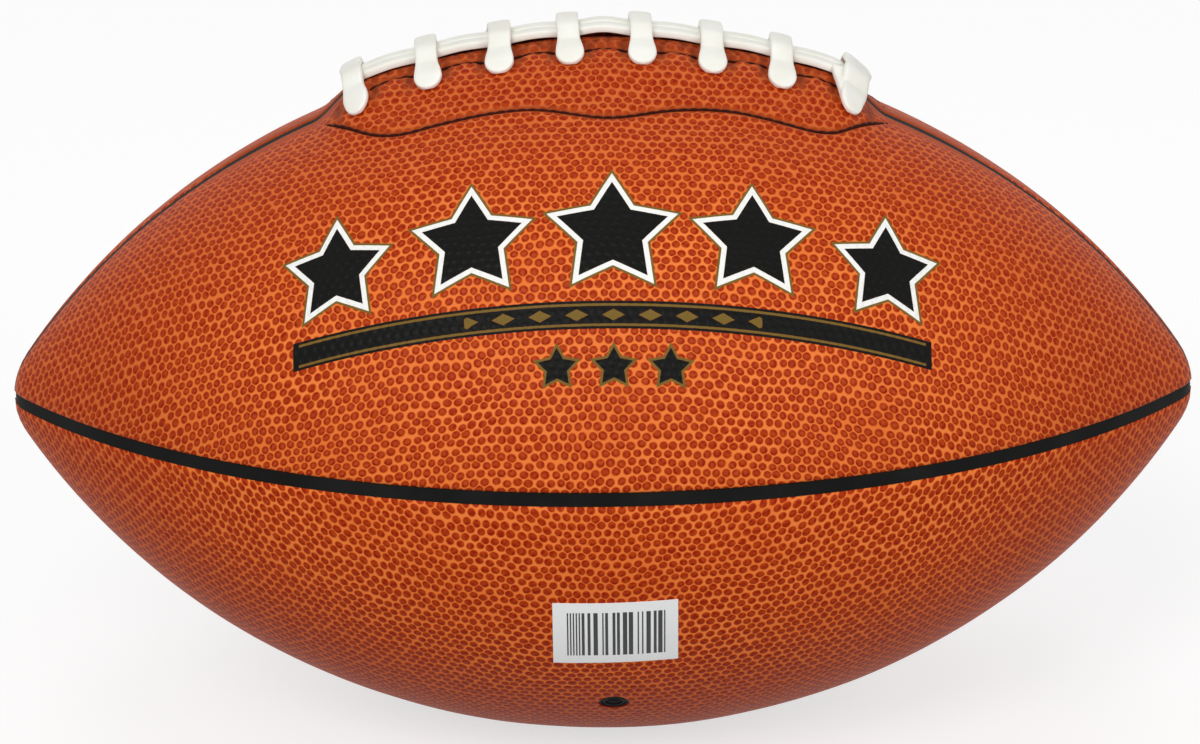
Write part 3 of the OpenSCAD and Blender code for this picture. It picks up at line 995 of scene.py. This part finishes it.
def leather(name, printed):
    """Dark pebbles in a bright net. Painted shade dims the net towards the tips, the top and the
    bottom and darkens the pebbles towards the bottom; the printed panel's pebbles have a
    painted highlight in their hearts."""
    recipe = new_recipe(name)
    place = recipe.add("ShaderNodeUVMap", {"uv_map": "cover"})
    distance, border = pebbles(recipe, place)
    smoothed = recipe.attribute("smoothed")
    kept = 1 - smoothed
    pebble = distance.smoother(0.47, 0.35) * border.smoother(0.03, 0.16) * kept
    dome = distance.smoother(0.5, 0.12) * border.smoother(0, 0.3) * kept
    patches = recipe.noise(place, 0.035, 3.0)
    mottle = recipe.noise(place, 0.9)
    x, _, z = recipe.split(recipe.position())
    along = x / (OVAL_HALF_LENGTH * MM)
    rise = (z - OVAL_Z * MM) / (OVAL_HALF_HEIGHT * MM)
    # Painted shade: the net darkens from the middle out to the oval
    painted_falloff = (along * along + rise * rise).smoother(0.42, 1.08)
    # Painted shade: the pebbles darken towards the bottom of the ball
    low = (z / MM).smoother(-12, -60)
    dark = recipe.blend(mottle.smoother(0.3, 0.7), PEBBLE_DARK, PEBBLE_LIGHT)
    dark = recipe.blend(low * 0.25, dark, PAINTED_UNDERSIDE_SHADE)
    # Painted highlight: lighter hearts on the pebbles, strong on the printed panel and fading out
    # towards the oval
    painted_highlight = distance.smoother(0.3, 0.06) * patches.smoother(0.25, 0.6) * (1 - painted_falloff)
    dark = recipe.blend(painted_highlight * (0.6 if printed else 0.1), dark, PAINTED_PEBBLE_HIGHLIGHT)
    net = recipe.blend(patches.smoother(0.3, 0.7), NET, NET_DULL)
    net = recipe.blend(distance.smoother(0.41, 0.545), NET_RIM, net)
    net = recipe.blend(painted_falloff * 0.8, net, NET_PAINTED_SHADE)
    net = recipe.blend(smoothed * 0.85, net, SMOOTH_LEATHER)
    colour = recipe.blend(pebble, net, dark)
    # Painted shade darkens the creases and stitch grooves beside the lacing
    colour = recipe.blend(recipe.attribute("painted_shade") * 0.55, colour, PAINTED_CREASE_SHADE)
    fine = recipe.noise(place, 5.5, 3.0, 0.6)
    rough = 0.44 + (1 - pebble) * 0.1 + (fine - 0.5) * 0.12
    if printed:
        u, v, _ = recipe.split(place)
        black, white, gold = print_layers(recipe, u - PRINT_U, v - PRINT_V)
        colour = recipe.blend(gold, colour, PRINT_GOLD)
        colour = recipe.blend(white, colour, PRINT_WHITE)
        colour = recipe.blend(black, colour, PRINT_BLACK)
        ink = (black + white + gold).math("MINIMUM", 1)
        rough = rough - ink * 0.06
    height = dome + fine * 0.1
    normal = recipe.uneven(0.6, 0.22, height)
    return recipe.finish(
        Base_Color=colour, Roughness=rough, Normal=normal, Specular_IOR_Level=LEATHER_SHINE
    )


def rubber(name, colour, roughness, grain):
    """Rubber with a faint wear, grain being the scale of its fine noise."""
    recipe = new_recipe(name)
    place = recipe.position()
    soft = recipe.noise(place, 90.0, 3.0)
    fine = recipe.noise(place, grain)
    worn = tuple(min(1, c * 1.7) for c in colour[:3]) + (1,)
    shade = recipe.blend(soft.smoother(0.3, 0.75), colour, worn)
    rough = roughness + (soft - 0.5) * 0.12
    normal = recipe.uneven(0.35, 0.08, fine)
    return recipe.finish(Base_Color=shade, Roughness=rough, Normal=normal, Specular_IOR_Level=0.05)


def vinyl(name):
    recipe = new_recipe(name)
    place = recipe.position()
    soft = recipe.noise(place, 120.0, 3.0)
    fine = recipe.noise(place, 2600.0)
    shade = recipe.blend(soft.smoother(0.25, 0.75), rgb(252, 252, 245), rgb(245, 243, 231))
    rough = 0.42 + (fine - 0.5) * 0.15
    normal = recipe.uneven(0.3, 0.06, fine)
    return recipe.finish(Base_Color=shade, Roughness=rough, Normal=normal)


def thread(name):
    recipe = new_recipe(name)
    place = recipe.position()
    twist = recipe.noise(place, 1800.0)
    shade = recipe.blend(twist.smoother(0.35, 0.65), rgb(34, 8, 4), rgb(62, 18, 8))
    normal = recipe.uneven(0.5, 0.1, twist)
    return recipe.finish(Base_Color=shade, Roughness=0.7, Normal=normal, Specular_IOR_Level=0.1)


# Radians a metre of the weave's wave
WEAVE = 5200


def woven(name):
    recipe = new_recipe(name)
    place = recipe.position()
    x, y, z = recipe.split(place)
    weave = (x * WEAVE).math("SINE") * ((y + z) * WEAVE).math("SINE")
    shade = recipe.blend(weave.smoother(-1, 1), rgb(178, 166, 138), rgb(214, 204, 180))
    normal = recipe.uneven(0.5, 0.2, weave)
    return recipe.finish(Base_Color=shade, Roughness=0.85, Normal=normal)


LABEL_BAR = 0.34
BARS_HALF_LENGTH = 11.55
BARS_HALF_HEIGHT = 7.05
BARS_BLUR = 0.05


def label_film(name):
    """White film with a block of plain bars of uneven width."""
    recipe = new_recipe(name)
    place = recipe.add("ShaderNodeUVMap", {"uv_map": "film"})
    along, up, _ = recipe.split(place)
    slot = (along / LABEL_BAR).math("FLOOR")
    pick = recipe.add("ShaderNodeTexWhiteNoise", {"noise_dimensions": "1D"}, {"W": slot + 0.5})
    gaps = (slot + 400).math("MODULO", 4).math("GREATER_THAN", 0.5)
    bars = pick.math("GREATER_THAN", 0.38) * gaps
    bars = bars * abs(along).inside(BARS_HALF_LENGTH, BARS_BLUR)
    ink = bars * abs(up).inside(BARS_HALF_HEIGHT, BARS_BLUR)
    paper = recipe.noise(place, 0.9)
    white = recipe.blend(paper, rgb(246, 251, 251), rgb(252, 254, 254))
    shade = recipe.blend(ink, white, rgb(38, 42, 44))
    normal = recipe.uneven(0.2, 0.05, paper)
    return recipe.finish(Base_Color=shade, Roughness=0.38, Normal=normal)


def dress(piece, material):
    piece.data.materials.clear()
    piece.data.materials.append(material)


def dress_node(node, material):
    """A node keeps its mesh, and its own material slots take the new material."""
    for place in bpy.data.objects[node].material_slots:
        place.material = material


# Making of the ball

panels = make_cover()
top_strips = [
    make_top_strip("top_seam_left", -1, "seam_strip_top_left"),
    make_top_strip("top_seam_right", 1, "seam_strip_top_right"),
]
lace = make_lace()
threads = make_stitching()
label = make_label()

plain_leather = leather("pebbled_leather", False)
for word in ("top_back", "bottom_front", "bottom_back"):
    dress(panels[word], plain_leather)
dress(panels["top_front"], leather("pebbled_leather_printed", True))
dress(lace, vinyl("lace_vinyl"))
waxed_thread = thread("dark_thread")
for row in threads:
    dress(row, waxed_thread)

strip_rubber = rubber("seam_strip_rubber", rgb(20, 21, 20), 0.6, 1500.0)
for node in ("front", "back", "bottom"):
    dress_node("seam_strip_" + node, strip_rubber)
for strip in top_strips:
    dress(strip, strip_rubber)
valve_rubber = rubber("valve_rubber", rgb(24, 25, 27), 0.38, 2200.0)
dress_node("valve_body", valve_rubber)
dress_node("valve_plug", rubber("plug_rubber", rgb(40, 40, 42), 0.6, 2600.0))
butyl = rubber("bladder_butyl", rgb(52, 52, 55), 0.6, 700.0)
dress_node("bladder", butyl)
dress_node("valve_patch", butyl)
cotton = woven("lining_cotton")
for node in (
    "lining_top_front", "lining_top_back", "lining_bottom_front", "lining_bottom_back",
    "lace_stay_front", "lace_stay_back", "lace_tongue",
):
    dress_node(node, cotton)
dress(label, label_film("label_film"))

# Floor, light and camera, with lengths in metres

WORLD_LIGHT = 0.42
FLOOR_GLOW = 0.66
FLOOR_WHITE = 0.42
FLOOR_SIZE = 14


def grey(level):
    return level, level, level, 1


def make_floor():
    """A white floor that touches the ball. It glows where it is seen, and lights nothing."""
    deselect()
    bpy.ops.mesh.primitive_grid_add(
        x_subdivisions=8, y_subdivisions=8, size=FLOOR_SIZE, location=(0, 0, -BALL_R * MM)
    )
    floor = bpy.context.object
    floor.name = "studio_floor"
    bpy.ops.object.transform_apply(location=True)
    recipe = new_recipe("white_floor")
    glow = recipe.blend(recipe.seen(), grey(0), grey(FLOOR_GLOW))
    dress(floor, recipe.finish(
        Base_Color=grey(FLOOR_WHITE), Roughness=0.9, Emission_Color=glow, Emission_Strength=1.0
    ))


def make_world():
    """White where it is seen, and a plain level of light for everything else."""
    world = bpy.data.worlds.new("studio")
    bpy.context.scene.world = world
    recipe = Recipe(world, "Background")
    recipe.finish(Color=grey(1), Strength=recipe.seen() * (1 - WORLD_LIGHT) + WORLD_LIGHT)


def make_lamp(name, place, size, power):
    """A soft box at a place, turned to the ball."""
    light = bpy.data.lights.new(name, "AREA")
    light.shape = "RECTANGLE"
    light.size, light.size_y = size
    light.energy = power
    lamp = bpy.data.objects.new(name, light)
    lamp.location = place
    lamp.rotation_euler = (-Vector(place)).to_track_quat("-Z", "Y").to_euler()
    bpy.context.scene.collection.objects.link(lamp)


# The photo's view, in the photo's own pixels
PHOTO_WIDTH = 1200
PIXEL = 0.2413 * MM
RIGHT_SHIFT = -3 * PIXEL
UP_SHIFT = 15 * PIXEL
ELEVATION = radians(18.3)
ROLL = radians(0.57)
CAMERA_DISTANCE = 1.4
SENSOR_WIDTH = 36


def make_camera():
    back = Vector((0, -cos(ELEVATION), sin(ELEVATION)))
    upright = Vector((0, sin(ELEVATION), cos(ELEVATION)))
    right = ALONG_BALL * cos(ROLL) - upright * sin(ROLL)
    up = upright * cos(ROLL) + ALONG_BALL * sin(ROLL)
    data = bpy.data.cameras.new("camera")
    data.sensor_width = SENSOR_WIDTH
    data.lens = SENSOR_WIDTH * CAMERA_DISTANCE / (PHOTO_WIDTH * PIXEL)
    data.clip_start = 0.05
    data.clip_end = 50
    camera = bpy.data.objects.new("camera", data)
    bpy.context.scene.collection.objects.link(camera)
    camera.location = right * RIGHT_SHIFT + up * UP_SHIFT + back * CAMERA_DISTANCE
    camera.rotation_mode = "QUATERNION"
    camera.rotation_quaternion = Matrix((right, up, back)).transposed().to_quaternion()
    bpy.context.scene.camera = camera


make_floor()
make_world()
make_lamp("key", (-0.7, -2.1, 1.5), (1.5, 1.1), 29.3)
make_lamp("fill", (1.3, -1.8, 0.9), (1.2, 1.2), 12)
make_lamp("top", (0, 0.3, 2.2), (1.6, 1.2), 4)
make_camera()
bpy.context.scene.view_settings.view_transform = "Standard"
